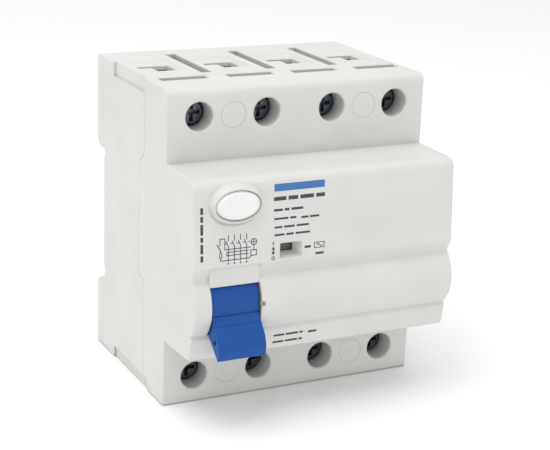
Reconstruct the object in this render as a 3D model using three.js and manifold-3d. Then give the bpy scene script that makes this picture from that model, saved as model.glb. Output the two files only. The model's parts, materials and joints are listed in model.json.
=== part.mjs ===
// Four-pole residual current device for a 35 mm rail, as an assembly of separate pieces.
//
// Frame: +X right, +Y towards the rail, +Z up, in millimetres. The origin is under the middle of the
// device, in the plane of its lower end. "Depth" is measured forward from the rear face, so a place
// at depth d has y = BACK - d. The handle is down, which is its off position.

import * as THREE from 'three';
import { mergeVertices } from 'three/addons/utils/BufferGeometryUtils.js';
import Module from 'manifold-3d';

const wasm = await Module();
wasm.setup();

// ---- driving dimensions ----

const BACK = 36;                  // y of the rear face
const WIDTH = 72;                 // four modules of 18
const HEIGHT = 82;
const TERMINAL_DEPTH = 48.6;      // rear face to the terminal faces
const FRONT_DEPTH = 65.3;         // rear face to the top edge of the raised front
const FRONT_LOW = 18.5;           // the raised front is the standard 45 high
const FRONT_HIGH = 63.5;
const FACE_FOOT = { d: 66.7, z: 42 };   // the front leans out a little towards its foot
const WALL = 2;
const GAP = 0.3;                  // between neighbouring pieces
const SEAM = 0.2;                 // between the two halves of the casing
const EDGE = 0.4;                 // rounding along the edges of the two sides

const POLE_PITCH = 18.2;
const POLES = [-1.5, -0.5, 0.5, 1.5].map((n) => n * POLE_PITCH);
const SCREW_INSET = 7.2;          // casing end to terminal screw axis
const ENDS = [
  { name: 'line', z: HEIGHT - SCREW_INSET, out: 1 },
  { name: 'load', z: SCREW_INSET, out: -1 },
];

const RAIL = { low: 21.2, high: 56.8, depth: 4.8, seatLow: 23.4, seatHigh: 55, hook: 3.4 };
const CAVITY = { floor: 7.2, low: 14.6, high: 67.6, face: 46.6, front: 63.3 };
const CHAMBER = { half: 6.2, rear: 14.4, front: 40, inner: 5.5, outer: 5 };
const STRAP = { half: 3.6, rear: 28, front: 29.5 };

const BAND = { d: 58.6, z: 32, radius: 9.7 };            // rolled band across the front
const HANDLE = { d: 58.4, z: 31.8, radius: 8.8, left: -31.3, right: -18.75 };
const SLOT = { left: -31.65, right: -18.4, low: 25, high: 37.3 };
const AXLE_RADIUS = 1.5;
const CRANK = { radius: 4.2, angle: THREE.MathUtils.degToRad(66) };
const PIN_RADIUS = 0.9;

const CARRIER = { d: 34, z: 40, arm: 12, half: 33.2 };
const CARRIER_THROW = THREE.MathUtils.degToRad(16.3);
const EAR_ANGLE = THREE.MathUtils.degToRad(91.3);        // of the link pin, contacts closed
const FLAG = { radius: 28.8, thick: 0.8, from: 4.5, to: 31.5, arm: THREE.MathUtils.degToRad(10) };

const BUTTON = { x: -25.1, z: 57.5, rx: 5.7, rz: 3.5, face: 68, travel: 2 };
const WINDOW = { x: -10.3, z: 44.75, width: 6.2, height: 3.9 };
const COVER_SCREWS = [-POLE_PITCH, POLE_PITCH];
const CLIP_CENTRES = [-18.2, 18.2];
const TOROID = { x: 16.1, d: 22, low: 21, high: 30, inner: 7.6, outer: 11.8, winding: 1 };
const TRIP = { d: 46, z: 49, radius: 1.2 };
const PLUNGER = { x: 1, d: 52, top: 43.1 };
const ROD_RADIUS = 1.1;

// ---- solids from three.js geometry ----

const depthY = (d) => BACK - d;

function solid(geometry, matrix = new THREE.Matrix4()) {
  const shell = geometry.clone().applyMatrix4(matrix);
  shell.deleteAttribute('normal');
  shell.deleteAttribute('uv');
  const merged = mergeVertices(shell, 1e-4);
  return new wasm.Manifold(new wasm.Mesh({
    numProp: 3,
    vertProperties: Float32Array.from(merged.attributes.position.array),
    triVerts: Uint32Array.from(merged.index.array),
  }));
}

function toGeometry(manifold) {
  const mesh = manifold.getMesh();
  const geometry = new THREE.BufferGeometry();
  geometry.setAttribute('position', new THREE.BufferAttribute(mesh.vertProperties, 3));
  geometry.setIndex(new THREE.BufferAttribute(mesh.triVerts, 1));
  geometry.computeVertexNormals();
  return geometry;
}

const join = (pieces) => pieces.reduce((whole, piece) => whole.add(piece));
const cut = (body, tools) => tools.reduce((rest, tool) => rest.subtract(tool), body);

// A closed outline whose corners are [u, v] or [u, v, radius].
function outline(corners) {
  const shape = new THREE.Shape();
  const count = corners.length;
  const place = ([u, v]) => new THREE.Vector2(u, v);
  corners.forEach((corner, i) => {
    const here = place(corner);
    const radius = corner[2] ?? 0;
    const before = place(corners[(i + count - 1) % count]);
    const after = place(corners[(i + 1) % count]);
    const start = here.clone().add(before.sub(here).setLength(radius));
    const end = here.clone().add(after.sub(here).setLength(radius));
    if (i === 0) shape.moveTo(start.x, start.y);
    else shape.lineTo(start.x, start.y);
    if (radius > 0) shape.quadraticCurveTo(here.x, here.y, end.x, end.y);
  });
  shape.closePath();
  return shape;
}

function arc(u, v, radius, from, to, steps) {
  return Array.from({ length: steps + 1 }, (_, i) => {
    const angle = THREE.MathUtils.degToRad(from + ((to - from) * i) / steps);
    return [u + radius * Math.cos(angle), v + radius * Math.sin(angle)];
  });
}

const extruded = (shape, depth) =>
  new THREE.ExtrudeGeometry(shape, { depth, bevelEnabled: false, curveSegments: 4 });

// The same, with the edges of both ends rounded off.
const extrudedRounded = (shape, depth, rounding) => new THREE.ExtrudeGeometry(shape, {
  depth: depth - 2 * rounding,
  bevelThickness: rounding,
  bevelSize: rounding,
  bevelOffset: -rounding,
  bevelSegments: 3,
  curveSegments: 4,
}).translate(0, 0, rounding);

// An outline in (depth, z), drawn out along X.
function alongX(corners, x0, x1, rounding = 0) {
  const turned = corners.map(([d, z, r]) => [depthY(d), z, r]);
  const basis = new THREE.Matrix4().makeBasis(
    new THREE.Vector3(0, 1, 0), new THREE.Vector3(0, 0, 1), new THREE.Vector3(1, 0, 0));
  basis.setPosition(x0, 0, 0);
  const shape = outline(turned);
  const drawn = rounding ? extrudedRounded(shape, x1 - x0, rounding) : extruded(shape, x1 - x0);
  return solid(drawn, basis);
}

// An outline in (x, depth), drawn out along Z.
function alongZ(corners, z0, z1) {
  const turned = corners.map(([x, d, r]) => [x, depthY(d), r]);
  return solid(extruded(outline(turned), z1 - z0), new THREE.Matrix4().makeTranslation(0, 0, z0));
}

function block([x0, x1], [d0, d1], [z0, z1]) {
  const place = new THREE.Matrix4().makeTranslation(
    (x0 + x1) / 2, depthY((d0 + d1) / 2), (z0 + z1) / 2);
  return solid(new THREE.BoxGeometry(x1 - x0, Math.abs(d1 - d0), z1 - z0), place);
}

// Round bars. The rear and front radii of barY may differ, and it may be squashed in Z.
function barX(x0, x1, d, z, radius, sides = 20) {
  const geometry = new THREE.CylinderGeometry(radius, radius, x1 - x0, sides);
  geometry.rotateZ(Math.PI / 2);
  geometry.translate((x0 + x1) / 2, depthY(d), z);
  return solid(geometry);
}

function barY(x, z, d0, d1, front, { rear = front, sides = 20, squash = 1, turn = 0 } = {}) {
  const geometry = new THREE.CylinderGeometry(rear, front, d1 - d0, sides);
  geometry.rotateY(turn);
  geometry.scale(1, 1, squash);
  geometry.translate(x, depthY((d0 + d1) / 2), z);
  return solid(geometry);
}

function barZ(x, d, z0, z1, radius, sides = 20) {
  const geometry = new THREE.CylinderGeometry(radius, radius, z1 - z0, sides);
  geometry.rotateX(Math.PI / 2);
  geometry.translate(x, depthY(d), (z0 + z1) / 2);
  return solid(geometry);
}

// A round wire through straight stretches, given as [x, depth, z].
function wire(points, radius) {
  const places = points.map(([x, d, z]) => new THREE.Vector3(x, depthY(d), z));
  const up = new THREE.Vector3(0, 1, 0);
  const pieces = [];
  places.forEach((place, i) => {
    const ball = new THREE.SphereGeometry(radius, 6, 4);
    ball.translate(place.x, place.y, place.z);
    if (i > 0 && i < places.length - 1) pieces.push(solid(ball));
    if (i === 0) return;
    const run = place.clone().sub(places[i - 1]);
    const bar = new THREE.CylinderGeometry(radius, radius, run.length(), 6);
    const turn = new THREE.Quaternion().setFromUnitVectors(up, run.clone().normalize());
    const middle = place.clone().add(places[i - 1]).multiplyScalar(0.5);
    pieces.push(solid(bar, new THREE.Matrix4().compose(middle, turn, new THREE.Vector3(1, 1, 1))));
  });
  return join(pieces);
}

// ---- materials and the scene ----

const material = (color, roughness, metalness) =>
  new THREE.MeshStandardMaterial({ color, roughness, metalness });
const finish = {
  casing: () => material(0xdededa, 0.55, 0),
  blue: () => material(0x24559f, 0.4, 0),
  white: () => material(0xf8f8f6, 0.25, 0),
  carrier: () => material(0x2e2f33, 0.6, 0),
  flag: () => material(0x4f7f57, 0.5, 0),
  clip: () => material(0x3a3b3d, 0.55, 0),
  steel: () => material(0x9aa0a6, 0.35, 1),
  zinc: () => material(0xb9bcc0, 0.3, 1),
  copper: () => material(0xb87349, 0.35, 1),
  core: () => material(0x55585c, 0.5, 0.6),
  winding: () => material(0x9c4a1e, 0.45, 0.3),
  resistor: () => material(0xb9a27a, 0.6, 0),
};

const device = new THREE.Group();

function add(name, shape, look, parent = device) {
  const mesh = new THREE.Mesh(toGeometry(shape), look());
  mesh.name = name;
  parent.add(mesh);
  return mesh;
}

// ---- casing ----

function bodyOutline() {
  const relief = RAIL.depth + 0.4;
  return [
    [0, HEIGHT, 0.8],
    [TERMINAL_DEPTH, HEIGHT, 2.2],
    [TERMINAL_DEPTH, FRONT_HIGH + 0.1],
    [FRONT_DEPTH, FRONT_HIGH, 2.6],
    [FACE_FOOT.d, FACE_FOOT.z, 0.5],
    [65.4, 39.5, 0.4],
    ...arc(BAND.d, BAND.z, BAND.radius, 45, -47, 10),
    [65.7, 24, 0.3],
    [64.6, FRONT_LOW, 0.7],
    [TERMINAL_DEPTH, FRONT_LOW - 0.7],
    [TERMINAL_DEPTH, 0, 0.6],
    [0, 0, 0.6],
    [0, 18.9, 0.8],
    [3.2, 20.2],
    [relief, RAIL.low],
    [relief, RAIL.seatLow],
    [RAIL.depth, RAIL.seatLow],
    [RAIL.depth, RAIL.seatHigh],
    [relief, RAIL.seatHigh],
    [relief, RAIL.high],
    [1.9, RAIL.high],
    [0, 58.8, 0.6],
  ];
}

const casingBody = () => alongX(bodyOutline(), -WIDTH / 2, WIDTH / 2, EDGE);

// The seam steps back behind the raised front. The cover's side of it is shifted by the seam gap.
function seamOutline(shift, beyond) {
  return [
    [beyond, HEIGHT + 1],
    [34.5 + shift, HEIGHT + 1],
    [34.5 + shift, 62.8 - shift],
    [31.2 + shift, 60.2 - shift],
    [31 + shift, 30.2 + shift],
    [34.9 + shift, 29.8 + shift],
    [35.4 + shift, -1],
    [beyond, -1],
  ];
}

// Two cones that take the corner off the rim of a driver hole.
function flaredRim(x, z, radius) {
  const steps = [[0.5, 0.05, 0.14], [0.18, 0.14, 0.4]];
  return steps.map(([depth, rear, front]) => {
    const slope = (front - rear) / depth;
    return barY(x, z, TERMINAL_DEPTH - depth, TERMINAL_DEPTH + 0.2,
      radius + rear + slope * (depth + 0.2), { rear: radius + rear, sides: 28 });
  });
}

function hollows() {
  const side = WIDTH / 2 - WALL;
  const tools = [
    block([-side, side], [CAVITY.floor, CAVITY.face], [CAVITY.low, CAVITY.high]),
    block([-side, side], [40, CAVITY.front], [FRONT_LOW + WALL, FRONT_HIGH - WALL + 0.1]),
  ];
  for (const { z, out } of ENDS) {
    const chamber = [z - CHAMBER.inner * out, z + CHAMBER.outer * out].sort((a, b) => a - b);
    const passage = [z - (CHAMBER.inner + 3) * out, z].sort((a, b) => a - b);
    for (const x of POLES) {
      tools.push(block([x - CHAMBER.half, x + CHAMBER.half], [CHAMBER.rear, CHAMBER.front], chamber));
      tools.push(block([x - STRAP.half - 0.5, x + STRAP.half + 0.5],
        [STRAP.rear - 0.6, STRAP.front + 0.6], passage));
      tools.push(barY(x, z, CHAMBER.front + 1.1, TERMINAL_DEPTH + 1, 3.6, { sides: 28 }));
      tools.push(...flaredRim(x, z, 3.6));
      tools.push(barY(x, z, CHAMBER.front - 1, CHAMBER.front + 2, 2.7, { sides: 12 }));
    }
    for (const x of COVER_SCREWS) {
      tools.push(barY(x, z, 42.3, TERMINAL_DEPTH + 1, 3.35, { sides: 24 }));
      tools.push(barY(x, z, 12.5, 43, 1.6, { sides: 8 }));
    }
  }
  return tools;
}

// A square funnel sunk into an end face, wide at the face, with a straight well below it.
function funnel(x, d, face, end) {
  const rim = { half: 5.8, length: 13.8, depth: 1.1, taper: 0.8 };
  const wide = rim.half * Math.SQRT2;
  const slope = new THREE.CylinderGeometry(wide, wide * rim.taper, rim.depth, 4);
  slope.rotateY(Math.PI / 4);
  slope.rotateX(Math.PI / 2 * end);
  slope.scale(1, rim.length / rim.half, 1);
  slope.translate(x, depthY(d), face - (rim.depth / 2) * end);
  const well = [face - (rim.depth - 0.05) * end, face - 3 * end].sort((a, b) => a - b);
  const inner = rim.half * rim.taper;
  const length = rim.length * rim.taper;
  return solid(slope).add(block([x - inner, x + inner], [d - length, d + length], well));
}

// Openings through one end of the casing: wire mouths, busbar slots and the slots between poles.
function endOpenings(end) {
  const face = end === 1 ? HEIGHT : 0;
  const range = (a, b) => [face - a * end, face - b * end].sort((p, q) => p - q);
  const tools = [];
  for (const x of POLES) {
    const mouth = funnel(x, 27, face, end).intersect(block([x - 7, x + 7], [10, 27], range(-2, 3)));
    tools.push(mouth.subtract(block([x - 7, x - 2.3], [23, 28], range(-2, 4))));
    tools.push(block([x - 5.8, x + 6.8], [35.4, 38.5], range(-1, 1)));
    tools.push(block([x - 5.8, x + CHAMBER.half], [35.4, 38.5], range(-1, 3)));
  }
  for (const x of [-POLE_PITCH, 0, POLE_PITCH]) {
    tools.push(block([x - 1.3, x + 1.5], [6.5, 31.5], range(-1, 3.6)));
  }
  for (const side of [-1, 1]) {
    const recess = [side * (WIDTH / 2 - 0.6), side * (WIDTH / 2 + 1)].sort((a, b) => a - b);
    const stretch = end === 1 ? [12.4, 34.7] : [13.4, 38];
    tools.push(block(recess, stretch, range(-1, end === 1 ? 3.7 : 3.2)));
  }
  return tools;
}

function railClipChannels() {
  return CLIP_CENTRES.flatMap((x) => [
    block([x - 7.3, x + 7.3], [-1, 3.6], [-1, 24]),
    block([x - 8.4, x + 8.4], [1.5, 3.6], [-1, 24]),
  ]);
}

function makeRearBase() {
  const body = casingBody().intersect(alongX(seamOutline(0, -2), -WIDTH, WIDTH));
  const hooks = CLIP_CENTRES.map((x) =>
    block([x - 6, x + 6], [1.95, RAIL.hook], [RAIL.high - 1.4, RAIL.high + 1]));
  const base = cut(body, [...hollows(), ...endOpenings(1), ...endOpenings(-1), ...railClipChannels()]);
  const cradle = block([TOROID.x - 4, TOROID.x + 4], [CAVITY.floor - 1, 8.4], [TOROID.low, TOROID.high]);
  return join([base, cradle, ...hooks]);
}

function handleOpening() {
  const slot = [SLOT.left, SLOT.right];
  return [
    block(slot, [54, 70], [SLOT.low, SLOT.high]),
    block(slot, [66.25, 70], [SLOT.high, FACE_FOOT.z + 0.2]),
    barX(SLOT.left - GAP, SLOT.right + GAP, HANDLE.d, HANDLE.z, HANDLE.radius + 0.45, 40),
    barX(SLOT.right - 1, SLOT.right + 0.9, 67.5, 32.3, 0.9, 12),
    barX(-34.9, -33, HANDLE.d, HANDLE.z, AXLE_RADIUS + GAP, 16),
  ];
}

function faceOpenings() {
  const squash = BUTTON.rz / BUTTON.rx + 0.02;
  const taper = (front, rear) => ({ rear, sides: 4, turn: Math.PI / 4, squash: front });
  const half = Math.SQRT2 / 2;
  return [
    barY(BUTTON.x, BUTTON.z, 60, 70, BUTTON.rx + GAP, { sides: 32, squash }),
    barY(BUTTON.x, BUTTON.z, 64.4, 66.8, 7.4, { rear: BUTTON.rx + GAP, sides: 32, squash: 0.72 }),
    barY(BUTTON.x, BUTTON.z, 65.25, 66.8, 8.6, { rear: 6.2, sides: 32, squash: 0.74 }),
    barY(WINDOW.x, WINDOW.z, 63, 66.8, WINDOW.width * half,
      taper(WINDOW.height / WINDOW.width, 3.4 * half)),
    barX(-34.9, 34.9, CARRIER.d, CARRIER.z, AXLE_RADIUS + GAP, 16),
  ];
}

// Ribs on both sides of the indicator flag, the post of the test spring, and two ribs over the
// resistor's leads.
function coverRibs() {
  const roof = FRONT_HIGH - WALL + 0.2;
  return [
    block([-13.2, -12.4], [60.9, CAVITY.front + 0.2], [42, 58]),
    block([-7.7, -6.9], [60.9, CAVITY.front + 0.2], [42, 58]),
    barZ(-13.5, 55.2, 54, roof, 0.7, 10),
    block([-8.4, -7.4], [55, 59], [56.7, roof]),
    block([4.4, 5.4], [55, 59], [56.7, roof]),
  ];
}

function makeFrontCover() {
  const body = casingBody().intersect(alongX(seamOutline(SEAM, 90), -WIDTH, WIDTH));
  const sill = block([SLOT.left - 0.01, SLOT.right + 0.01], [60, 66.25], [SLOT.high, FACE_FOOT.z]);
  const whole = cut(body, [...hollows(), ...endOpenings(1), ...endOpenings(-1)]).add(sill);
  return join([cut(whole, [...handleOpening(), ...faceOpenings()]), ...coverRibs()]);
}

add('rear_base', makeRearBase(), finish.casing);
add('front_cover', makeFrontCover(), finish.casing);

// ---- rail clips ----

function makeRailClip() {
  const section = [[-7, 0.6], [-7, 1.9], [-8, 1.9], [-8, 3.2], [8, 3.2], [8, 1.9], [7, 1.9], [7, 0.6]];
  const plate = alongZ(section, 0.8, 18.6);
  const nose = alongX([[1.6, 18], [1.6, 21.6], [2.4, 23], [3.2, 23], [3.2, 18]], -5.5, 5.5);
  return cut(plate.add(nose), [block([-3, 3], [0, 4], [2.6, 4.4])]);
}

CLIP_CENTRES.forEach((x, i) => {
  add(`rail_clip_${i + 1}`, makeRailClip(), finish.clip).position.x = x;
});

// ---- cover screws and their plugs ----

function crossSlot(z, d0, d1, reach, width) {
  return block([-reach, reach], [d0, d1], [z - width / 2, z + width / 2])
    .add(block([-width / 2, width / 2], [d0, d1], [z - reach, z + reach]));
}

function makeCoverScrew() {
  const head = barY(0, 0, 42.6, 44.8, 2.8, { sides: 16 });
  const shank = barY(0, 0, 13, 42.8, 1.1, { rear: 0.8, sides: 8 });
  return head.add(shank).subtract(crossSlot(0, 43.6, 46, 1.7, 0.7));
}

ENDS.forEach(({ name, z }) => COVER_SCREWS.forEach((x, i) => {
  add(`${name}_cover_screw_${i + 1}`, makeCoverScrew(), finish.steel).position.set(x, 0, z);
  add(`${name}_screw_plug_${i + 1}`, barY(0, 0, 46.3, TERMINAL_DEPTH - 0.1, 3.05, { sides: 24 }),
    finish.casing).position.set(x, 0, z);
}));

// ---- terminals ----

function makeTerminalScrew() {
  const head = barY(0, 0, 41.4, 42.8, 3.3, { sides: 20 });
  const crown = barY(0, 0, 42.7, 43.2, 2.8, { rear: 3.3, sides: 20 });
  const shank = barY(0, 0, 29.9, 41.6, 2.4, { rear: 1.8, sides: 12 });
  return join([head, crown, shank]).subtract(crossSlot(0, 41.9, 46, 2.3, 1));
}

function makeCage() {
  const ring = block([-5.8, 5.8], [15, 33.4], [-4.4, 4.4]);
  return cut(ring, [block([-4, 4], [17, 30.9], [-6, 6]), barY(0, 0, 30, 35, 2.8, { sides: 12 })]);
}

function makeLineStrap() {
  const strap = block([-STRAP.half, STRAP.half], [STRAP.rear, STRAP.front], [56.6, HEIGHT - 3]);
  return strap.add(barY(0, 58.6, STRAP.front - 0.2, 30.5, 2, { sides: 12 }));
}

// Each load conductor runs under the transformer, up through it and back out to its own contact arm.
function makeLoadConductor(x, i) {
  const outer = i === 0 || i === 3;
  const side = i < 2 ? -2.3 : 2.3;
  const hole = [TOROID.x + side, TOROID.d + (outer ? -2.3 : 2.3)];
  const lane = outer ? hole[1] : hole[1] + (i === 2 ? 3.4 : 0);
  const level = (z) => [[x, lane, z], [hole[0], lane, z], [hole[0], hole[1], z]];
  const lower = level(17.4);
  const upper = level(34.4).reverse();
  const turns = lane === hole[1] ? [...lower.slice(0, 2), ...upper.slice(1)] : [...lower, ...upper];
  const route = [[x, 28.75, 15], [x, 28.75, 17.4], ...turns, [x, 27.6, 34.4], [x, 27.6, 36.2]];
  const strap = block([x - STRAP.half, x + STRAP.half], [STRAP.rear, STRAP.front], [3, 16]);
  return strap.add(wire(route, ROD_RADIUS));
}

ENDS.forEach(({ name, z }) => POLES.forEach((x, i) => {
  add(`${name}_terminal_screw_${i + 1}`, makeTerminalScrew(), finish.steel).position.set(x, 0, z);
  add(`${name}_cage_${i + 1}`, makeCage(), finish.zinc).position.set(x, 0, z);
}));
POLES.forEach((x, i) => {
  add(`line_strap_${i + 1}`, makeLineStrap(), finish.copper).position.x = x;
  add(`load_conductor_${i + 1}`, makeLoadConductor(x, i), finish.copper);
});

// ---- contact carrier: drawn with the contacts closed, then swung open about its shaft ----

function makeCarrierBar() {
  const { d, z, half, arm } = CARRIER;
  const bar = block([-half, half], [d - 3.5, d + 3.5], [z - 3.5, z + 6]);
  const pin = { d: d + arm * Math.cos(EAR_ANGLE), z: z + arm * Math.sin(EAR_ANGLE) };
  const ear = alongX([[d - 3, z + 5], [d + 3, z + 5], [d + 2.8, pin.z + 2.8, 1.5],
    [d - 3, pin.z + 2.8, 1.5]], -22, -18.6);
  const pockets = POLES.map((x) => block([x - 1.3, x + 1.3], [31.3, 34.7], [z + 3, z + 8]));
  return cut(bar.add(ear), [
    barX(-40, 40, d, z, AXLE_RADIUS + GAP, 16),
    barX(-25, -15, pin.d, pin.z, PIN_RADIUS + 0.45, 12),
    ...pockets,
  ]);
}

function makeContactArm() {
  const arm = alongX([[31.6, 43.4], [34.4, 43.4], [34.4, 50], [33.6, 60.6], [31.8, 60.6]], -1, 1);
  return arm.add(barY(0, 58.6, 30.8, 32.4, 1.8, { sides: 12 }));
}

// The flag behind the window: a plate curved about the shaft, on an arm of its own.
function makeFlag() {
  const { d, z } = CARRIER;
  const { radius, thick, from, to, arm } = FLAG;
  const front = arc(d, z, radius, from, to, 10);
  const rear = arc(d, z, radius - thick, to, from, 10);
  const plate = alongX([...front, ...rear], -12.1, -8);
  const along = (r, across) => [
    d + r * Math.cos(arm) - across * Math.sin(arm), z + r * Math.sin(arm) + across * Math.cos(arm)];
  const spoke = alongX([[37.8, z + 0.2], along(radius - 0.4, -1.2), along(radius - 0.4, 1.2), [37.8, z + 4]],
    -11, -9.8);
  return plate.add(spoke);
}

const carrierGroup = new THREE.Group();
const pivotY = depthY(CARRIER.d);
carrierGroup.position.set(0, pivotY, CARRIER.z);
carrierGroup.rotation.x = CARRIER_THROW;
device.add(carrierGroup);
add('contact_carrier', makeCarrierBar(), finish.carrier, carrierGroup).position
  .set(0, -pivotY, -CARRIER.z);
POLES.forEach((x, i) => {
  add(`contact_arm_${i + 1}`, makeContactArm(), finish.copper, carrierGroup).position
    .set(x, -pivotY, -CARRIER.z);
});
add('indicator_flag', makeFlag(), finish.flag, carrierGroup).position.set(0, -pivotY, -CARRIER.z);
add('carrier_shaft', barX(-34.6, 34.6, CARRIER.d, CARRIER.z, AXLE_RADIUS, 16), finish.steel);

// ---- handle and its mechanism ----

// The crank hole in the drum, and the carrier's link pin with the contacts open.
const crankPin = {
  d: HANDLE.d + CRANK.radius * Math.cos(CRANK.angle),
  z: HANDLE.z + CRANK.radius * Math.sin(CRANK.angle),
};
const earPin = {
  d: CARRIER.d + CARRIER.arm * Math.cos(EAR_ANGLE - CARRIER_THROW),
  z: CARRIER.z + CARRIER.arm * Math.sin(EAR_ANGLE - CARRIER_THROW),
};

function makeHandle() {
  const drum = barX(HANDLE.left, HANDLE.right, HANDLE.d, HANDLE.z, HANDLE.radius, 40);
  const lip = alongX([[60, 30.2], [67, 30.2], [68.8, 28.2, 0.4], [71.2, 25.4, 1], [72.12, 22.8, 1],
    [71.5, 20.2, 0.4], [63.6, 26.8]], HANDLE.left, HANDLE.right);
  return cut(drum.add(lip), [
    barX(-40, 0, HANDLE.d, HANDLE.z, AXLE_RADIUS + GAP, 16),
    barX(-23, -18, crankPin.d, crankPin.z, PIN_RADIUS + GAP, 12),
    barX(-40, 0, 69.4, 24.4, 0.7, 12),
  ]);
}

function makeLink() {
  const lean = THREE.MathUtils.radToDeg(Math.atan2(earPin.z - crankPin.z, earPin.d - crankPin.d));
  const bar = alongX([
    ...arc(crankPin.d, crankPin.z, 2, lean + 90, lean + 270, 6),
    ...arc(earPin.d, earPin.z, 2, lean + 270, lean + 450, 6),
  ], -18.2, -17);
  return join([bar,
    barX(-22.6, -17.1, crankPin.d, crankPin.z, PIN_RADIUS, 12),
    barX(-21.8, -17.1, earPin.d, earPin.z, PIN_RADIUS, 12)]);
}

function makeMechanismFrame() {
  const foot = FRONT_LOW + WALL + GAP;
  const left = [[42, foot], [60.6, foot], [60.6, 37, 3], [52, 41, 3], [42, 41, 2]];
  const right = [[42, foot], [60.6, foot], [60.6, 37, 3], [49, 44, 1], [49, 52, 2], [43, 52, 2], [42, 44, 1]];
  const frame = join([
    alongX(left, -33.6, -32.4),
    alongX(right, -13.6, -12.4),
    block([-33.6, -12.4], [42, 43.2], [foot, 33]),
  ]);
  return cut(frame, [
    barX(-40, 0, HANDLE.d, HANDLE.z, AXLE_RADIUS + GAP, 16),
    barX(-16, 0, TRIP.d, TRIP.z, TRIP.radius + GAP, 12),
  ]);
}

function makeHandleSpring() {
  const coil = { radius: 2.7, turns: 2, pitch: 1, wire: 0.35, start: -16.4, perTurn: 10 };
  const count = coil.perTurn * coil.turns;
  const points = Array.from({ length: count + 1 }, (_, i) => {
    const angle = (2 * Math.PI * i) / coil.perTurn;
    return new THREE.Vector3(coil.start + (coil.pitch * i) / coil.perTurn,
      depthY(HANDLE.d) + coil.radius * Math.cos(angle), HANDLE.z + coil.radius * Math.sin(angle));
  });
  points.push(points[count].clone().add(new THREE.Vector3(0, 0, 4)));
  const section = new THREE.Shape().absarc(0, 0, coil.wire, 0, 2 * Math.PI);
  return solid(new THREE.ExtrudeGeometry(section, {
    steps: 40,
    curveSegments: 5,
    bevelEnabled: false,
    extrudePath: new THREE.CatmullRomCurve3(points),
  }));
}

add('handle', makeHandle(), finish.blue);
add('handle_axle', barX(-34.6, -12, HANDLE.d, HANDLE.z, AXLE_RADIUS, 16), finish.steel);
add('handle_spring', makeHandleSpring(), finish.steel);
add('handle_link', makeLink(), finish.steel);
add('mechanism_frame', makeMechanismFrame(), finish.steel);

// ---- test button, its spring contact and resistor ----

function makeTestButton() {
  const squash = BUTTON.rz / BUTTON.rx;
  const { x, z, rx, face } = BUTTON;
  return join([
    barY(x, z, 62.5, face - 0.7, rx, { sides: 32, squash }),
    barY(x, z, face - 0.8, face, rx - 0.9, { rear: rx, sides: 32, squash }),
    barY(x, z, 61.4, 62.8, 6.7, { sides: 24, squash: 0.54 }),
    block([x - 1.5, x + 1.5], [57, 61.6], [z - 1.5, z + 1.5]),
  ]);
}

function makeTestSpring() {
  const coil = barZ(-13.5, 55.2, 55, 60, 2, 16);
  const arm = block([-27, -14.4], [55.9, 56.5], [56, 59]);
  return coil.add(arm).subtract(barZ(-13.5, 55.2, 54, 61, 1, 12));
}

function makeTestResistor() {
  return join([barX(-6, 3, 57, 56, 1.6, 16), wire([[-9.5, 57, 56], [6.5, 57, 56]], 0.4)]);
}

add('test_button', makeTestButton(), finish.white);
add('test_spring', makeTestSpring(), finish.copper);
add('test_resistor', makeTestResistor(), finish.resistor);

// ---- summation transformer and trip relay ----

function ring(inner, outer, low, high) {
  const profile = [[inner, low], [outer, low], [outer, high], [inner, high], [inner, low]];
  const geometry = new THREE.LatheGeometry(profile.map(([r, z]) => new THREE.Vector2(r, z)), 32);
  geometry.rotateX(Math.PI / 2);
  geometry.translate(TOROID.x, depthY(TOROID.d), 0);
  return geometry;
}

// The winding is wrapped round the core, open along one side where its ends come out.
function makeWinding() {
  const { inner, outer, low, high, winding } = TOROID;
  const sleeve = solid(ring(inner - GAP - winding, outer + GAP + winding,
    low - GAP - winding, high + GAP + winding));
  const hollow = solid(ring(inner - GAP, outer + GAP, low - GAP, high + GAP));
  const opening = block([TOROID.x - 3, TOROID.x + 3],
    [TOROID.d + inner - 3, TOROID.d + outer + 4], [low - 5, high + 5]);
  return cut(sleeve, [hollow, opening]);
}

function makeRelayCase() {
  const low = FRONT_LOW + WALL + GAP;
  const body = block([-6, 8], [43.4, 57], [low, 37]);
  const post = block([5.2, 8], [43.4, 48.6], [36, 51.6]);
  return cut(body.add(post), [
    barZ(PLUNGER.x, PLUNGER.d, 31.4, 40, 1.5, 16),
    barX(4, 10, TRIP.d, TRIP.z, TRIP.radius + GAP, 12),
  ]);
}

// The plunger lifts the lever's foot, and the arm at the far end lets the mechanism go.
function makeTripLever() {
  const shaft = barX(-14.2, 7.6, TRIP.d, TRIP.z, TRIP.radius, 12);
  const foot = alongX([[45, 48.3], [55.5, 43.5], [55.5, 45], [46.5, 50.2]], -1.5, 3.5);
  const arm = alongX([[45, 48.5], [47, 48.5], [45.2, 57, 0.6], [43.4, 57, 0.6]], -11.9, -10.7);
  return join([shaft, foot, arm]);
}

add('toroid_core', solid(ring(TOROID.inner, TOROID.outer, TOROID.low, TOROID.high)), finish.core);
add('toroid_winding', makeWinding(), finish.winding);
add('relay_case', makeRelayCase(), finish.carrier);
add('relay_plunger', barZ(PLUNGER.x, PLUNGER.d, 31.8, PLUNGER.top, 1.2, 16), finish.steel);
add('trip_lever', makeTripLever(), finish.white);

export default device;
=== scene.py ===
"""Looks of a four-pole residual current device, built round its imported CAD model.

The casing halves, handle, button, rail clips and screws are copies of the CAD solids with smooth
curved faces. The seam between the halves is closed to a hairline, and the handle gets two creases.
The plugs' discs, the collar round the button and the ink on the front are made here. Every material
is procedural. Sizes are in millimetres unless a comment says otherwise, and depths are measured
forwards from the back of the casing.
"""

import json
from math import cos, radians, sin, tau

import bmesh
import bpy
from mathutils import Matrix, Vector

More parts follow.
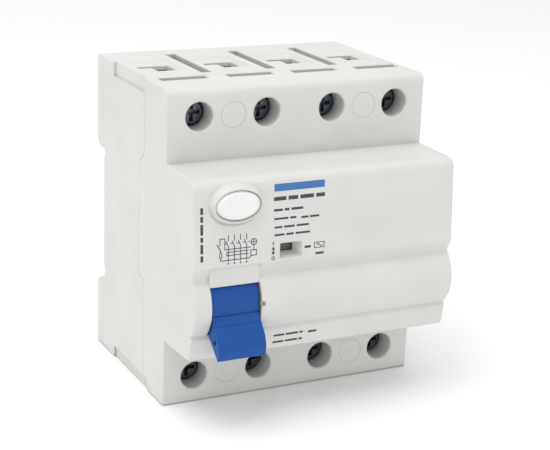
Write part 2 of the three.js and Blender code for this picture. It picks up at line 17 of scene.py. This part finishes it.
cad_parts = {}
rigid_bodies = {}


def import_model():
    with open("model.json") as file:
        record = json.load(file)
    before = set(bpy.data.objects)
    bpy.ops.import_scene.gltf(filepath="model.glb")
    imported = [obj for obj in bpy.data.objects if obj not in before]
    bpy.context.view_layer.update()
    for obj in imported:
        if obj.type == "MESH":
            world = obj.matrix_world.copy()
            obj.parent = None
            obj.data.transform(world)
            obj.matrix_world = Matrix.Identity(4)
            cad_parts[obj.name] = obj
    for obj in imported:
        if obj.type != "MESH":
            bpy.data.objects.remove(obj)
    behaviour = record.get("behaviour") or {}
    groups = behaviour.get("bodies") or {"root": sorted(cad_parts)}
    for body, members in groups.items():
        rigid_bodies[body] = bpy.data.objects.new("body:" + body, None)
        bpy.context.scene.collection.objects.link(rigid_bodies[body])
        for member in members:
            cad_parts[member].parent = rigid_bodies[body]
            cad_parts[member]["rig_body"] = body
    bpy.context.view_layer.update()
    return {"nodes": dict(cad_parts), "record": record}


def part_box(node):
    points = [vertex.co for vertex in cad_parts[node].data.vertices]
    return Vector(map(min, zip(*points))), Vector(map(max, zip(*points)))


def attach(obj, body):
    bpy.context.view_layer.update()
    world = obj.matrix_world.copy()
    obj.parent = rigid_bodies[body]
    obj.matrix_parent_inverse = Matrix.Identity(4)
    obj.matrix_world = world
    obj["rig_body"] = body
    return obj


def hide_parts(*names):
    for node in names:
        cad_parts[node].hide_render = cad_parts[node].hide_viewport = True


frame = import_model()
nodes = frame["nodes"]

MM = 0.001
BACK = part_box("rear_base")[1].y         # Y of the back of the casing, in metres
FRONT = ((65.3, 63.5), (66.7, 42.0))    # depth and height of the leaning front's top and foot
STRIP = ((65.7, 24.0), (64.6, 18.5))    # and of the strip below the band
FRONT_STARTS = (54, 58)                 # depths over which the raised front begins

slots = {part["node"]: part["material_slot"] for part in frame["record"]["subparts"]}


# ---- camera, floor and light, all in metres ----


def add_camera():
    """The camera stands to the left of the device and a little above it, with a slight roll."""
    azimuth, elevation, roll = radians(-27.109), radians(17.431), radians(2.254)
    forward = Vector((-sin(azimuth) * cos(elevation), cos(azimuth) * cos(elevation), -sin(elevation)))
    level = Vector((cos(azimuth), sin(azimuth), 0))
    upright = level.cross(forward)
    right = level * cos(roll) + upright * sin(roll)
    up = upright * cos(roll) - level * sin(roll)
    turn = Matrix((right, up, -forward)).transposed()
    data = bpy.data.cameras.new("camera")
    data.sensor_width = 36
    data.lens = 94.35
    data.shift_x = -0.0079
    data.shift_y = 0.0080
    data.clip_start = 0.05
    data.clip_end = 20
    camera = bpy.data.objects.new("camera", data)
    camera.matrix_world = Matrix.Translation((-0.16431, -0.32473, 0.15400)) @ turn.to_4x4()
    bpy.context.scene.collection.objects.link(camera)
    bpy.context.scene.camera = camera


def add_area(name, place, aim, size, power):
    """A rectangular light that faces the point aim."""
    data = bpy.data.lights.new(name, "AREA")
    data.shape = "RECTANGLE"
    data.size, data.size_y = size
    data.energy = power
    light = bpy.data.objects.new(name, data)
    light.location = place
    light.rotation_euler = (Vector(aim) - Vector(place)).to_track_quat("-Z", "Y").to_euler()
    bpy.context.scene.collection.objects.link(light)


def add_studio():
    """Soft, nearly even light: a pale world, a key from above and weak lights in front and at the left."""
    scene = bpy.context.scene
    scene.view_settings.view_transform = "Standard"
    world = bpy.data.worlds.new("studio")
    world.use_nodes = True
    background = world.node_tree.nodes["Background"]
    background.inputs["Color"].default_value = (1.0, 1.0, 1.0, 1)
    background.inputs["Strength"].default_value = 0.88
    scene.world = world
    centre = (0, 0, 0.04)
    add_area("key_above", (-0.25, -0.1, 0.85), centre, (0.6, 0.6), 3.2)
    add_area("fill_front", (-0.25, -0.9, 0.35), centre, (0.5, 0.4), 0.35)
    add_area("edge_left", (-0.8, -0.05, 0.3), centre, (0.4, 0.5), 0.04)


def add_floor():
    """A wide, nearly white floor at the device's foot."""
    mesh = bpy.data.meshes.new("floor")
    edge = 6
    mesh.from_pydata([(-edge, -edge, 0), (edge, -edge, 0), (edge, edge, 0), (-edge, edge, 0)],
                     [], [(0, 1, 2, 3)])
    floor = bpy.data.objects.new("floor", mesh)
    material = bpy.data.materials.new("floor")
    material.use_nodes = True
    shader = material.node_tree.nodes["Principled BSDF"]
    shader.inputs["Base Color"].default_value = (0.95, 0.95, 0.95, 1)
    shader.inputs["Roughness"].default_value = 0.7
    mesh.materials.append(material)
    bpy.context.scene.collection.objects.link(floor)


# ---- procedural materials ----


class Look:
    """A material under construction. Lengths are in metres, in the device's own frame."""

    def __init__(self, name, **settings):
        self.material = bpy.data.materials.new(name)
        self.material.use_nodes = True
        self.tree = self.material.node_tree
        self.shader = self.tree.nodes["Principled BSDF"]
        self.place = self.tree.nodes.new("ShaderNodeTexCoord").outputs["Object"]
        self.normal = None
        for key, value in settings.items():
            self.shader.inputs[key.replace("_", " ")].default_value = value

    def soften(self, radius):
        """Rounds the shading over edges, before any bump."""
        self.normal = self.add("ShaderNodeBevel", {"samples": 6}, Radius=radius).outputs[0]
        self.link(self.normal, "Normal")

    def add(self, kind, settings=None, **inputs):
        node = self.tree.nodes.new(kind)
        for key, value in (settings or {}).items():
            setattr(node, key, value)
        for key, value in inputs.items():
            socket = node.inputs[key.replace("_", " ")]
            if isinstance(value, bpy.types.NodeSocket):
                self.tree.links.new(value, socket)
            else:
                socket.default_value = value
        return node

    def link(self, output, name):
        self.tree.links.new(output, self.shader.inputs[name])

    def noise(self, size, detail=3, stretch=(1, 1, 1)):
        """Noise from 0 to 1 with features about size metres wide."""
        place = self.add("ShaderNodeVectorMath", {"operation": "MULTIPLY"})
        self.tree.links.new(self.place, place.inputs[0])
        place.inputs[1].default_value = stretch
        return self.add("ShaderNodeTexNoise", Vector=place.outputs[0],
                        Scale=1 / size, Detail=detail).outputs[0]

    def ramp(self, value, low, high, to_low=0.0, to_high=1.0):
        node = self.add("ShaderNodeMapRange", Value=value)
        for key, number in zip(("From Min", "From Max", "To Min", "To Max"),
                               (low, high, to_low, to_high)):
            node.inputs[key].default_value = number
        return node.outputs[0]

    def maths(self, operation, a, b=0.0):
        node = self.add("ShaderNodeMath", {"operation": operation})
        for socket, value in zip(node.inputs, (a, b)):
            if isinstance(value, bpy.types.NodeSocket):
                self.tree.links.new(value, socket)
            else:
                socket.default_value = value
        return node.outputs[0]

    def blend(self, factor, a, b):
        """Mixes two colours, each a socket or an RGB triple."""
        node = self.add("ShaderNodeMix", {"data_type": "RGBA"})
        self.tree.links.new(factor, node.inputs[0])
        for socket, value in ((node.inputs[6], a), (node.inputs[7], b)):
            if isinstance(value, bpy.types.NodeSocket):
                self.tree.links.new(value, socket)
            else:
                socket.default_value = (*value, 1)
        return node.outputs[2]

    def bump(self, height, distance):
        node = self.add("ShaderNodeBump", Height=height, Distance=distance, Strength=1.0)
        if self.normal:
            self.tree.links.new(self.normal, node.inputs["Normal"])
        self.normal = node.outputs[0]
        self.link(self.normal, "Normal")

    def edges(self, radius):
        """1 on edges and corners, 0 on flat stretches."""
        rounded = self.add("ShaderNodeBevel", {"samples": 4}, Radius=radius).outputs[0]
        flat = self.add("ShaderNodeNewGeometry").outputs["Normal"]
        dot = self.add("ShaderNodeVectorMath", {"operation": "DOT_PRODUCT"})
        self.tree.links.new(rounded, dot.inputs[0])
        self.tree.links.new(flat, dot.inputs[1])
        return self.ramp(self.maths("SUBTRACT", 1.0, dot.outputs["Value"]), 0.02, 0.25)

    def recesses(self, distance):
        """0 in the open, rising towards 1 deep inside corners and holes."""
        open_share = self.add("ShaderNodeAmbientOcclusion", {"samples": 4}, Distance=distance)
        return self.maths("SUBTRACT", 1.0, open_share.outputs["AO"])


def shade(colour, factor):
    """A colour made lighter or darker."""
    return tuple(min(1, channel * factor) for channel in colour)


def plastic(name, colour, roughness, grain=0.008, gloss=0.5, worn=1.12, deep=0.72, reach=2.5, soft=0.3,
            front_light=0):
    """Moulded plastic: spark-eroded grain, slow colour drift, rubbed edges and painted shade in the
    corners.
    The painted shade darkens the corners to the share deep, as far as reach from a wall. With front_light,
    those of the raised front are darkened by that share only."""
    look = Look(name, IOR=1.5)
    look.soften(soft * MM)
    patches = look.ramp(look.noise(14 * MM), 0.35, 0.65)
    drift = look.blend(patches, shade(colour, 0.975), shade(colour, 1.02))
    speck = look.ramp(look.noise(0.35 * MM, 2), 0.62, 0.8, 0, 0.35)
    base = look.blend(speck, drift, shade(colour, 0.9))
    # painted shade: the colour darkens where ambient occlusion finds corners, holes and recesses
    dark = look.ramp(look.recesses(reach * MM), 0.55, 1)
    if front_light:
        depth = look.add("ShaderNodeSeparateXYZ", Vector=look.place).outputs["Y"]
        start, end = (BACK - place * MM for place in FRONT_STARTS)
        front = look.ramp(depth, end, start, front_light, 1)
        dark = look.maths("MULTIPLY", dark, front)
    shaded = look.blend(dark, base, shade(colour, deep))
    rub = look.maths("MULTIPLY", look.edges(0.35 * MM), look.ramp(look.noise(3 * MM), 0.35, 0.7, 0.25, 1))
    look.link(look.blend(look.maths("MULTIPLY", rub, 0.6), shaded, shade(colour, worn)), "Base Color")
    smear = look.ramp(look.noise(5 * MM, 5), 0.3, 0.7, roughness - 0.06, roughness + 0.07)
    look.link(look.maths("SUBTRACT", smear, look.maths("MULTIPLY", rub, 0.12)), "Roughness")
    look.shader.inputs["Specular IOR Level"].default_value = gloss
    look.bump(look.noise(0.28 * MM, 3), grain * MM)
    look.bump(look.noise(9 * MM, 2), 0.02 * MM)
    return look.material


def metal(name, colour, roughness, stretch=(1, 1, 1)):
    """Plated or bare metal: drawn grain, fine scratches, tarnish spots, painted shade in the corners and
    bright edges.
    """
    look = Look(name, Metallic=1.0)
    look.soften(0.15 * MM)
    spots = look.ramp(look.noise(2.5 * MM, 5), 0.35, 0.7)
    tarnish = look.blend(spots, shade(colour, 0.8), shade(colour, 1.06))
    # painted shade: darker where ambient occlusion finds corners and holes
    corner = look.blend(look.ramp(look.recesses(1.5 * MM), 0.3, 1, 0, 0.6), tarnish, shade(colour, 0.45))
    bright = look.blend(look.edges(0.15 * MM), corner, shade(colour, 1.25))
    look.link(bright, "Base Color")
    look.link(look.ramp(look.noise(0.8 * MM, 4, stretch), 0.3, 0.7, roughness - 0.08, roughness + 0.12),
              "Roughness")
    look.bump(look.noise(0.25 * MM, 4, stretch), 0.006 * MM)
    return look.material


def wound_wire(name, colour):
    """Enamelled wire laid side by side round the core, so its stripes turn with the angle. The stripes are
    painted shade in the grooves between turns and painted highlight on the turns' crowns.
    """
    low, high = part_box("toroid_core")
    middle = (low + high) / 2
    turns = 90
    look = Look(name, Metallic=0.6, Coat_Weight=0.6, Coat_Roughness=0.15)
    apart = look.add("ShaderNodeSeparateXYZ", Vector=look.place)
    across = look.maths("SUBTRACT", apart.outputs["X"], middle.x)
    along = look.maths("SUBTRACT", apart.outputs["Y"], middle.y)
    angle = look.maths("ARCTAN2", along, across)
    wave = look.ramp(look.maths("SINE", look.maths("MULTIPLY", angle, turns)), -1, 1)
    # painted shade between the turns and painted highlight on their crowns, following the wave
    look.link(look.blend(wave, shade(colour, 0.45), shade(colour, 1.15)), "Base Color")
    look.link(look.ramp(look.noise(1.5 * MM), 0.3, 0.7, 0.25, 0.4), "Roughness")
    look.bump(wave, 0.15 * MM)
    return look.material


def ink(name, colour):
    """Pad-printed ink, a little uneven, with pinholes at its finest scale."""
    look = Look(name, IOR=1.45)
    thin = look.ramp(look.noise(0.5 * MM, 4), 0.3, 0.75)
    look.link(look.blend(thin, shade(colour, 0.9), tuple(c * 0.85 + 0.06 for c in colour)), "Base Color")
    look.link(look.ramp(look.noise(1.2 * MM), 0.3, 0.7, 0.42, 0.58), "Roughness")
    look.bump(look.noise(0.3 * MM), 0.004 * MM)
    return look.material


LOOKS = {
    "grey_housing": plastic("housing_plastic", (0.65, 0.655, 0.63), 0.42, deep=0.22, reach=5,
                            front_light=0.05),
    "blue_handle": plastic("blue_plastic", (0.008, 0.078, 0.32), 0.36, 0.006, 0.25, 1.5, deep=0.25),
    "white_button": plastic("white_plastic", (0.82, 0.82, 0.81), 0.16, 0.002),
    "dark_moulding": plastic("dark_plastic", (0.03, 0.03, 0.033), 0.5, worn=1.6),
    "indicator": plastic("flag_plastic", (0.16, 0.165, 0.16), 0.45),
    "rail_clip": plastic("clip_plastic", (0.045, 0.046, 0.05), 0.45, worn=1.6),
    "steel": metal("zinc_plated_steel", (0.12, 0.135, 0.16), 0.28),
    "zinc": metal("bright_zinc", (0.62, 0.62, 0.63), 0.28, (1, 1, 8)),
    "copper": metal("bare_copper", (0.78, 0.38, 0.23), 0.3, (1, 6, 1)),
    "core": plastic("core_coating", (0.08, 0.085, 0.09), 0.4, worn=1.4),
    "winding": wound_wire("enamelled_wire", (0.5, 0.17, 0.06)),
    "resistor": plastic("resistor_body", (0.5, 0.37, 0.22), 0.35),
}


def paint(thing, slot):
    """Gives a CAD node the look of its slot."""
    thing.data.materials.clear()
    thing.data.materials.append(LOOKS[slot])


# ---- copies of CAD solids with smooth curved faces ----

SEAM_GAP = 0.15             # how far the cover's side of the seam is moved towards the base
SEAM_PATH = [(34.7, 83), (34.7, 62.6), (31.4, 60.0), (31.2, 30.4), (35.1, 30.0), (35.6, -1)]
UPPER_STEP = (59, 63.2)     # heights of the seam's two steps
LOWER_STEP = (29.9, 31)
ON_SEAM = 0.02              # how near to the path counts as on it


def near_seam(depth, height):
    """Is a place on the cover's side of the seam?"""
    for (d0, z0), (d1, z1) in zip(SEAM_PATH, SEAM_PATH[1:]):
        run = Vector((d1 - d0, z1 - z0))
        along = max(0, min(1, Vector((depth - d0, height - z0)).dot(run) / run.length_squared))
        if (Vector((d0, z0)) + run * along - Vector((depth, height))).length < ON_SEAM:
            return True
    return False


def close_seam(mesh):
    """Moves the cover's side of the seam back, and out along the two steps, to leave a hairline."""
    for vert in mesh.verts:
        depth, height = (BACK - vert.co.y) / MM, vert.co.z / MM
        if near_seam(depth, height):
            vert.co.y += SEAM_GAP * MM
            if UPPER_STEP[0] < height < UPPER_STEP[1]:
                vert.co.z += SEAM_GAP * MM
            elif LOWER_STEP[0] < height < LOWER_STEP[1]:
                vert.co.z -= SEAM_GAP * MM


def middle_of(node):
    """The X and Z of the middle of a CAD node's box."""
    low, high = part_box(node)
    return (low.x + high.x) / 2, (low.z + high.z) / 2


BUTTON = (5.7, 3.5)         # half width and half height of the test button's oval
BUTTON_FLANGE = 62.9        # depth of the front of its retaining flange
BUTTON_CORE = 0.7           # share of the oval, from its middle, that stays as it is
BUTTON_GROWTH = 0.1


def fill_hole(mesh):
    """The button a little wider and taller, so it leaves only a fine gap round itself."""
    x, z = middle_of("test_button")
    for vert in mesh.verts:
        across = Vector(((vert.co.x - x) / MM / BUTTON[0], (vert.co.z - z) / MM / BUTTON[1]))
        if (BACK - vert.co.y) / MM > BUTTON_FLANGE and across.length > BUTTON_CORE:
            vert.co.x += across.x * BUTTON_GROWTH * MM
            vert.co.z += across.y * BUTTON_GROWTH * MM


CREASES = (((67.05, 30.1), 20), ((68.8, 28.2), 42))     # each one's place, and upward lean in degrees
CREASE_HALF_WIDTH = 0.16
CREASE_DEPTH = 0.2
CREASE_REACH = 0.4          # how far in front of or behind its place the surface may be
ON_CUT = 0.01               # how near to a cut counts as on it


def score_handle(mesh):
    """Two fine creases across the handle, where its drum meets its lip."""
    half = CREASE_HALF_WIDTH * MM
    for (depth, height), lean in CREASES:
        spot = Vector((0, BACK - depth * MM, height * MM))
        outward = Vector((0, -cos(radians(lean)), sin(radians(lean))))
        along = Vector((0, sin(radians(lean)), cos(radians(lean))))
        for shift in (-half, 0, half):
            everything = mesh.verts[:] + mesh.edges[:] + mesh.faces[:]
            bmesh.ops.bisect_plane(mesh, geom=everything, dist=0.001 * MM, plane_co=spot + along * shift,
                                   plane_no=along)
        for vert in mesh.verts:
            offset = vert.co - spot
            if abs(offset.dot(along)) < ON_CUT * MM and abs(offset.dot(outward)) < CREASE_REACH * MM:
                vert.co -= outward * CREASE_DEPTH * MM


def finish_piece(mesh, name, slot, body, replaced=(), sharp=32, material=None):
    """Makes an object of a bmesh, smooth except at edges of at least sharp degrees, riding on a body.
    Its material is the slot's own unless another is given."""
    for face in mesh.faces:
        face.smooth = True
    for edge in mesh.edges:
        edge.smooth = len(edge.link_faces) == 2 and edge.calc_face_angle(0) < radians(sharp)
    data = bpy.data.meshes.new(name)
    mesh.to_mesh(data)
    mesh.free()
    piece = bpy.data.objects.new(name, data)
    bpy.context.scene.collection.objects.link(piece)
    even = piece.modifiers.new("even_normals", "WEIGHTED_NORMAL")
    even.keep_sharp = True
    even.weight = 100
    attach(piece, body)
    if replaced:
        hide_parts(*replaced)
    data.materials.append(material or LOOKS[slot])


def smooth_copy(node, change=None, sharp=32):
    """A copy of a CAD node's solid, with curved faces shaded smooth."""
    mesh = bmesh.new()
    mesh.from_mesh(nodes[node].data)
    bmesh.ops.remove_doubles(mesh, verts=mesh.verts, dist=0.0005 * MM)
    if change:
        change(mesh)
    finish_piece(mesh, node + "_shell", slots[node], nodes[node]["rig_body"], (node,), sharp)


def turned(x, z, rings, closed=False):
    """A solid of oval rings round (x, z) in metres, each given by its two radii and its Y in metres.
    A ring of no radius is a point. A closed solid joins its last ring to its first, as a tube."""
    count = 48
    mesh = bmesh.new()
    rows = []
    for wide, tall, y in rings:
        angles = [tau * i / count for i in range(count if wide else 1)]
        rows.append([mesh.verts.new((x + wide * MM * cos(a), y, z + tall * MM * sin(a)))
                     for a in angles])
    next_rows = rows[1:] + rows[:1] if closed else rows[1:]
    for before, after in zip(rows, next_rows):
        for i in range(count):
            k = (i + 1) % count
            corners = (before[i % len(before)], before[k % len(before)],
                       after[k % len(after)], after[i % len(after)])
            mesh.faces.new(list(dict.fromkeys(corners)))
    bmesh.ops.recalc_face_normals(mesh, faces=mesh.faces)
    return mesh


PLUG_FACE = 48.58           # depth of a plug's face
PLUG_RADIUS = 3.33
DIMPLE_RADIUS = 1.1


def make_plug(node):
    """A flush round plug that fills its hole to a hairline, with a fine chamfer and a moulding dimple."""
    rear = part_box(node)[1].y
    face = BACK - PLUG_FACE * MM
    sunk = face + 0.03 * MM
    profile = [(0, rear), (3.05, rear), (PLUG_RADIUS, rear - 0.3 * MM), (PLUG_RADIUS, sunk),
               (3.3, face), (DIMPLE_RADIUS, face), (1.0, sunk), (0, sunk)]
    mesh = turned(*middle_of(node), [(radius, radius, y) for radius, y in profile])
    finish_piece(mesh, node + "_disc", slots[node], nodes[node]["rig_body"], (node,))


# The collar's outside from its foot, sunk in the casing, to its top, and then its bore. Each ring has
# its half width, half height and depth.
COLLAR_OUTSIDE = [(7.0, 5.3, 64.0), (6.95, 5.15, 65.4), (6.65, 4.8, 66.5), (6.4, 4.45, 67.2),
                  (6.2, 4.15, 67.6)]
COLLAR_BORE = [(6.05, 3.9, 67.65), (5.95, 3.75, 67.5), (5.95, 3.75, 64.0)]


def make_collar():
    """The raised oval collar of the casing round the test button, whose bore clears the button."""
    rings = [(wide, tall, BACK - depth * MM) for wide, tall, depth in COLLAR_OUTSIDE + COLLAR_BORE]
    mesh = turned(*middle_of("test_button"), rings, closed=True)
    finish_piece(mesh, "button_collar", slots["front_cover"], "casing", sharp=50)


# ---- ink ----

INK_THICK = 0.025           # above the surface
INK_SUNK = 0.03             # and below it
BLACK_INK = ink("black_ink", (0.03, 0.03, 0.045))
BLUE_INK = ink("blue_ink", (0.03, 0.15, 0.44))


class Sheet:
    """Ink on a flat sloping face, given by depth and height at its top and foot. Places are (x, z)."""

    def __init__(self, top, foot):
        self.top, self.foot = Vector(top), Vector(foot)
        run = (self.foot - self.top).normalized()
        self.out = Vector((-run.y, run.x))
        self.mesh = bmesh.new()

    def at(self, x, z, lift):
        """The point, in metres, that lies at a place and stands off the surface by lift."""
        part = (self.top.y - z) / (self.top.y - self.foot.y)
        place = self.top.lerp(self.foot, part) + self.out * lift
        return (x * MM, BACK - place.x * MM, place.y * MM)

    def patch(self, corners):
        """A thin plate with the given corners."""
        upper = [self.mesh.verts.new(self.at(x, z, INK_THICK)) for x, z in corners]
        lower = [self.mesh.verts.new(self.at(x, z, -INK_SUNK)) for x, z in corners]
        self.mesh.faces.new(upper)
        self.mesh.faces.new(lower[::-1])
        for i, here in enumerate(upper):
            k = (i + 1) % len(upper)
            self.mesh.faces.new((upper[k], here, lower[i], lower[k]))

    def bar(self, x0, x1, z0, z1):
        self.patch([(x0, z0), (x1, z0), (x1, z1), (x0, z1)])

    def line(self, a, b, width):
        run = Vector((b[0] - a[0], b[1] - a[1])).normalized() * width / 2
        side = Vector((-run.y, run.x))
        a, b = Vector(a) - run, Vector(b) + run
        self.patch([tuple(a - side), tuple(b - side), tuple(b + side), tuple(a + side)])

    def path(self, places, width):
        for a, b in zip(places, places[1:]):
            self.line(a, b, width)

    def oval(self, x, z, rx, rz, width):
        steps = 14
        ring = [(x + rx * cos(tau * i / steps), z + rz * sin(tau * i / steps)) for i in range(steps + 1)]
        self.path(ring, width)

    def blocks(self, x0, x1, z0, z1, widths, gap):
        """A row of plain blocks, whose widths are given as shares."""
        unit = (x1 - x0 - gap * (len(widths) - 1)) / sum(widths)
        for width in widths:
            self.bar(x0, x0 + width * unit, z0, z1)
            x0 += width * unit + gap

    def done(self, name, material, slot):
        bmesh.ops.recalc_face_normals(self.mesh, faces=self.mesh.faces)
        finish_piece(self.mesh, name, slot, "casing", sharp=20, material=material)


def print_blue():
    """One plain blue bar."""
    sheet = Sheet(*FRONT)
    sheet.bar(-14.9, -1.3, 59.5, 61.3)
    sheet.done("ink_blue_bar", BLUE_INK, "blue_handle")


def print_ratings(sheet):
    """Rows of plain dashes."""
    sheet.blocks(-15.0, -1.2, 57.2, 58.15, (3, 2.4, 3.4, 2.2), 0.6)
    sheet.blocks(-15.0, -7.1, 54.6, 55.2, (2.2, 1.2, 3), 0.5)
    sheet.blocks(-14.9, -9.0, 52.5, 53.0, (2.4, 1), 0.5)
    sheet.blocks(-7.6, -2.7, 52.3, 52.8, (1.4, 1.8), 0.4)
    sheet.blocks(-14.8, -5.5, 50.4, 50.9, (1.6, 2.2, 2.6), 0.5)
    sheet.blocks(-14.8, -5.2, 48.5, 49.0, (2, 1.5, 2.9), 0.5)


def print_side_line(sheet):
    """A column of plain dashes beside the button."""
    z = 44.2
    for length in (1.5, 2.3, 1.2, 2.6, 1.4, 1.6):
        sheet.bar(-34.2, -33.5, z, z + length)
        z += length + 0.5


def print_switch_marks(sheet):
    """On and off signs with two arrowheads, and a frame with a wave beside a short bar."""
    sheet.line((-15.1, 46.4), (-15.1, 47.1), 0.24)
    for z, way in ((45.45, 1), (44.4, -1)):
        sheet.patch([(-15.6, z - 0.25 * way), (-14.6, z - 0.25 * way), (-15.1, z + 0.55 * way)])
    sheet.line((-15.1, 44.6), (-15.1, 45.3), 0.2)
    sheet.oval(-15.1, 43.1, 0.38, 0.38, 0.18)
    sheet.bar(-6.6, -4.9, 44.7, 45.3)
    sheet.path([(-3.9, 44.5), (-1.2, 44.5), (-1.2, 45.85), (-3.9, 45.85), (-3.9, 44.5)], 0.18)
    wave = [(-3.3 + 0.16 * i, 45.17 + 0.36 * sin(tau * i / 10)) for i in range(11)]
    sheet.path(wave, 0.18)
    sheet.bar(-3.6, -1.3, 42.8, 43.35)


def print_diagram(sheet):
    """A plain wiring diagram: four switched lines through a transformer, with a test branch."""
    lines = (-27.0, -25.4, -23.8, -22.2)
    for x in lines:
        sheet.line((x, 43.7), (x, 47.3), 0.2)
        sheet.line((x, 47.3), (x - 0.6, 48.6), 0.2)
        sheet.line((x, 48.7), (x, 50.0), 0.2)
        sheet.bar(x - 0.2, x + 0.2, 42.9, 43.3)
    for x in (-27.8, -26.2, -24.6, -23.0, -21.6):
        sheet.line((x - 0.25, 48.0), (x + 0.25, 48.0), 0.16)
    sheet.path([(-29.2, 47.6), (-29.2, 49.3), (-27.9, 49.3), (-27.9, 46.6), (-21.2, 46.6)], 0.2)
    sheet.path([(-21.8, 45.9), (-27.4, 45.9), (-27.4, 45.1), (-21.8, 45.1)], 0.2)
    sheet.path([(-21.1, 45.8), (-19.6, 45.8), (-19.6, 44.5), (-21.1, 44.5), (-21.1, 45.8)], 0.2)
    sheet.oval(-20.3, 47.8, 0.75, 0.75, 0.2)
    sheet.line((-21.05, 47.8), (-19.55, 47.8), 0.16)
    sheet.line((-20.3, 47.05), (-20.3, 48.55), 0.16)
    sheet.line((-20.3, 45.8), (-20.3, 47.05), 0.18)
    sheet.path([(-29.9, 47.9), (-29.0, 46.4)], 0.24)
    sheet.oval(-29.0, 45.3, 0.3, 0.8, 0.18)
    sheet.path([(-29.0, 46.4), (-29.0, 46.1)], 0.2)
    sheet.path([(-29.0, 44.5), (-29.0, 43.95), (-21.6, 43.95), (-20.8, 44.5)], 0.2)


def print_front():
    """Everything in black on the leaning front, as one piece."""
    sheet = Sheet(*FRONT)
    print_ratings(sheet)
    print_side_line(sheet)
    print_switch_marks(sheet)
    print_diagram(sheet)
    sheet.done("ink_front_marks", BLACK_INK, "dark_moulding")


def print_strip():
    """Plain dashes on the strip below the band."""
    sheet = Sheet(*STRIP)
    for low, high in ((22.05, 22.6), (20.15, 20.7)):
        sheet.blocks(-13.6, -5.4, low, high, (3, 3.4, 1), 0.4)
    sheet.bar(-3.9, -1.6, 21.8, 22.4)
    sheet.done("ink_lower_strip", BLACK_INK, "dark_moulding")


# ---- the device ----


add_camera()
add_studio()
add_floor()

for name, node in nodes.items():
    paint(node, slots[name])

smooth_copy("rear_base")
smooth_copy("front_cover", close_seam)
smooth_copy("test_button", fill_hole)
smooth_copy("handle", score_handle, sharp=14)
for name in ("indicator_flag", "relay_plunger", "rail_clip_1", "rail_clip_2"):
    smooth_copy(name)
for name in nodes:
    if "terminal_screw" in name or "cover_screw" in name:
        smooth_copy(name)
    elif "screw_plug" in name:
        make_plug(name)
make_collar()

print_blue()
print_front()
print_strip()
